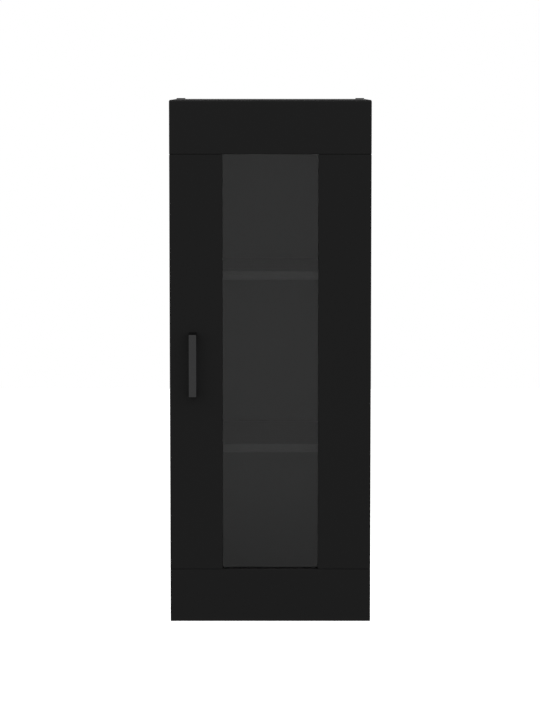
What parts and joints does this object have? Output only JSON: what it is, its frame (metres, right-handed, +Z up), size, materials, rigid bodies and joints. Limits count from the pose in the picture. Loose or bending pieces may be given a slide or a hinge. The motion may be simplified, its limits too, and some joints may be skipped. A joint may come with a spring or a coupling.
{
  "type": "hanging wall cabinet",
  "caption": "Narrow tall wall cabinet with a framed clear-paned door on concealed cup hinges, inner shelves, a bow handle and keyhole wall hangers.",
  "frame": {"origin": "middle of the bottom of the whole box, from the front of the handle to the rear of the wall hangers", "axes": "+X to the hinge side (right, seen from the front), +Y to the wall, +Z up"},
  "size_m": [0.345, 0.34, 0.9015],
  "materials": {
    "black_board": "black melamine faced board, fine matt grain",
    "back_board": "thin black faced hardboard",
    "clear_pane": "clear, polished",
    "dark_metal": "dark grey powder coat",
    "nickel": "nickel plated",
    "zinc": "zinc plated",
    "black_steel": "black painted steel",
    "beech": "fluted beech dowel"
  },
  "bodies": {
    "carcass": {"side_left": "black_board", "side_right": "black_board", "top_panel": "black_board", "bottom_panel": "black_board", "shelf_lower": "black_board", "shelf_upper": "black_board", "back_panel": "back_board", "shelf_pin_lower_left_front": "nickel", "shelf_pin_lower_left_rear": "nickel", "shelf_pin_lower_right_front": "nickel", "shelf_pin_lower_right_rear": "nickel", "shelf_pin_upper_left_front": "nickel", "shelf_pin_upper_left_rear": "nickel", "shelf_pin_upper_right_front": "nickel", "shelf_pin_upper_right_rear": "nickel", "confirmat_top_left_front": "zinc", "confirmat_top_left_rear": "zinc", "confirmat_top_right_front": "zinc", "confirmat_top_right_rear": "zinc", "confirmat_bottom_left_front": "zinc", "confirmat_bottom_left_rear": "zinc", "confirmat_bottom_right_front": "zinc", "confirmat_bottom_right_rear": "zinc", "hanger_left": "black_steel", "hanger_screw_top_left": "black_steel", "hanger_screw_rear_left": "black_steel", "hanger_right": "black_steel", "hanger_screw_top_right": "black_steel", "hanger_screw_rear_right": "black_steel", "hinge_plate_lower": "nickel", "hinge_arm_lower": "nickel", "plate_screw_lower_bottom": "zinc", "plate_screw_lower_top": "zinc", "hinge_plate_upper": "nickel", "hinge_arm_upper": "nickel", "plate_screw_upper_bottom": "zinc", "plate_screw_upper_top": "zinc"},
    "outer_links": {"outer_link_lower": "nickel", "outer_link_upper": "nickel"},
    "inner_links": {"inner_link_lower": "nickel", "inner_link_upper": "nickel"},
    "door": {"hinge_cup_lower": "nickel", "hinge_cup_upper": "nickel", "door_rail_bottom": "black_board", "door_rail_top": "black_board", "door_stile_left": "black_board", "door_stile_right": "black_board", "door_pane": "clear_pane", "handle": "dark_metal", "handle_screw_bottom": "zinc", "handle_screw_top": "zinc", "dowel_bottom_left_outer": "beech", "dowel_bottom_left_inner": "beech", "dowel_bottom_right_outer": "beech", "dowel_bottom_right_inner": "beech", "dowel_top_left_outer": "beech", "dowel_top_left_inner": "beech", "dowel_top_right_outer": "beech", "dowel_top_right_inner": "beech"}
  },
  "joints": [
    {"name": "outer_link_swing", "type": "hinge", "parent": "carcass", "child": "outer_links", "pos_m": [0.1369, -0.114, 0.45], "axis": [0, 0, -1], "range_deg": [0, 22.8]},
    {"name": "inner_link_swing", "type": "hinge", "parent": "carcass", "child": "inner_links", "pos_m": [0.1378, -0.136, 0.45], "axis": [0, 0, -1], "range_deg": [0, 29.8]},
    {"name": "door_swing", "type": "hinge", "parent": "outer_links", "child": "door", "pos_m": [0.1626, -0.1324, 0.45], "axis": [0, 0, 1], "range_deg": [0, 110]}
  ],
  "couplings": [
    {"joint": "outer_link_swing", "follows": "door_swing", "ratio": 0.20635},
    {"joint": "inner_link_swing", "follows": "door_swing", "ratio": 0.26984}
  ]
}
